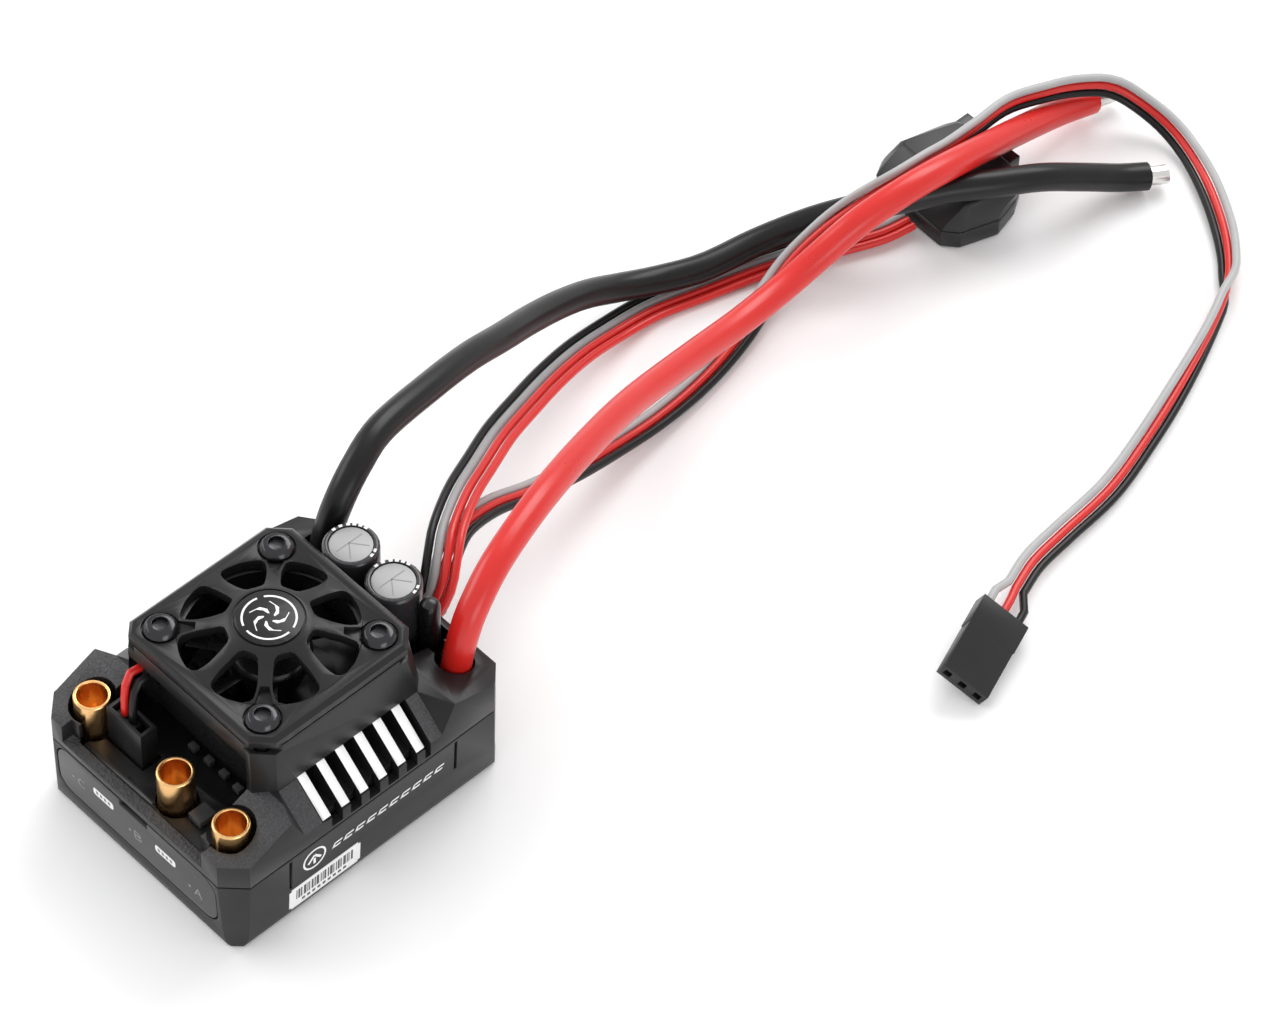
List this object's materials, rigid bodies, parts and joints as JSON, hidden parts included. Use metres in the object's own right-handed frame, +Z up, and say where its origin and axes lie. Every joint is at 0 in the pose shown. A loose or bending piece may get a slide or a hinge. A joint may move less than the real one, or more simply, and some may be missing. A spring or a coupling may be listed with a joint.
{
  "type": "model car speed controller",
  "caption": "Brushless motor speed controller with a fan tower, side cooling fins, gold bullet sockets, capacitors, battery wires, switch and receiver lead.",
  "frame": {"origin": "centre of the case's bottom face", "axes": "+Y from the motor sockets towards the capacitors and wires, +X to the right seen from the socket end, +Z up"},
  "size_m": [0.088, 0.2, 0.0342],
  "materials": {
    "case_plastic": "dark grey moulded nylon, smooth sides",
    "tower_plastic": "mid grey moulded nylon, finely grained on top",
    "fan_plastic": "black plastic",
    "connector_plastic": "black connector plastic",
    "coil_copper": "varnished copper winding",
    "fin_metal": "bare milled aluminium",
    "screw_steel": "black oxide steel",
    "socket_gold": "gold plated brass",
    "can_metal": "bare can, scored on top",
    "sleeve_film": "printed shrink sleeve",
    "board_green": "solder mask",
    "chip_epoxy": "black chip package",
    "chip_ceramic": "ceramic chip",
    "pad_rubber": "soft thermal pad",
    "light_pipe_plastic": "frosted clear plastic",
    "grommet_rubber": "soft black sealant block",
    "wire_black": "silicone insulation",
    "wire_red": "silicone insulation",
    "wire_grey": "silicone insulation",
    "wire_white": "silicone insulation",
    "solder_tin": "tinned strands"
  },
  "bodies": {
    "case": {"capacitor_1": "can_metal", "capacitor_2": "can_metal", "capacitor_sleeve_1": "sleeve_film", "capacitor_sleeve_2": "sleeve_film", "case_screw_1": "screw_steel", "case_screw_2": "screw_steel", "case_screw_3": "screw_steel", "case_screw_4": "screw_steel", "fan_coils": "coil_copper", "fan_frame": "fan_plastic", "fan_guard": "tower_plastic", "fan_header": "connector_plastic", "fan_lead_black": "wire_black", "fan_lead_red": "wire_red", "fan_plug": "connector_plastic", "fan_screw_1": "screw_steel", "fan_screw_2": "screw_steel", "fan_screw_3": "screw_steel", "fan_screw_4": "screw_steel", "filter_capacitor": "fan_plastic", "front_panel": "tower_plastic", "heat_sink": "fin_metal", "lead_grommet": "grommet_rubber", "light_pipe": "light_pipe_plastic", "lower_case": "case_plastic", "main_board": "board_green", "motor_socket_a": "socket_gold", "motor_socket_b": "socket_gold", "motor_socket_c": "socket_gold", "power_chip_1": "chip_epoxy", "power_chip_2": "chip_epoxy", "power_chip_3": "chip_epoxy", "power_chip_4": "chip_epoxy", "power_wire_black": "wire_black", "power_wire_red": "wire_red", "receiver_lead_black": "wire_black", "receiver_lead_red": "wire_red", "receiver_lead_white": "wire_white", "receiver_plug": "connector_plastic", "small_chip_1": "chip_ceramic", "small_chip_2": "chip_ceramic", "small_chip_3": "chip_ceramic", "small_chip_4": "chip_ceramic", "switch_base": "connector_plastic", "switch_cover": "connector_plastic", "switch_lead_black": "wire_black", "switch_lead_grey": "wire_grey", "switch_lead_red": "wire_red", "switch_lead_red_2": "wire_red", "terminal_shelf": "connector_plastic", "thermal_pad": "pad_rubber", "upper_case": "tower_plastic", "wire_tip_black": "solder_tin", "wire_tip_red": "solder_tin"},
    "rotor": {"fan_rotor": "fan_plastic"},
    "knob": {"switch_knob": "fan_plastic"},
    "button": {"set_button": "fan_plastic"}
  },
  "joints": [
    {"name": "fan_spin", "type": "hinge", "parent": "case", "child": "rotor", "pos_m": [0.0007, -0.001, 0.0243], "axis": [0, 0, 1], "continuous": true},
    {"name": "switch_slide", "type": "slide", "parent": "case", "child": "knob", "axis": [1, 0, 0], "range_m": [0, 0.0032]},
    {"name": "set_press", "type": "slide", "parent": "case", "child": "button", "axis": [0, -1, 0], "range_m": [0, 0.0009], "stiffness_N_per_m": 300, "springref_m": -0.0005}
  ]
}
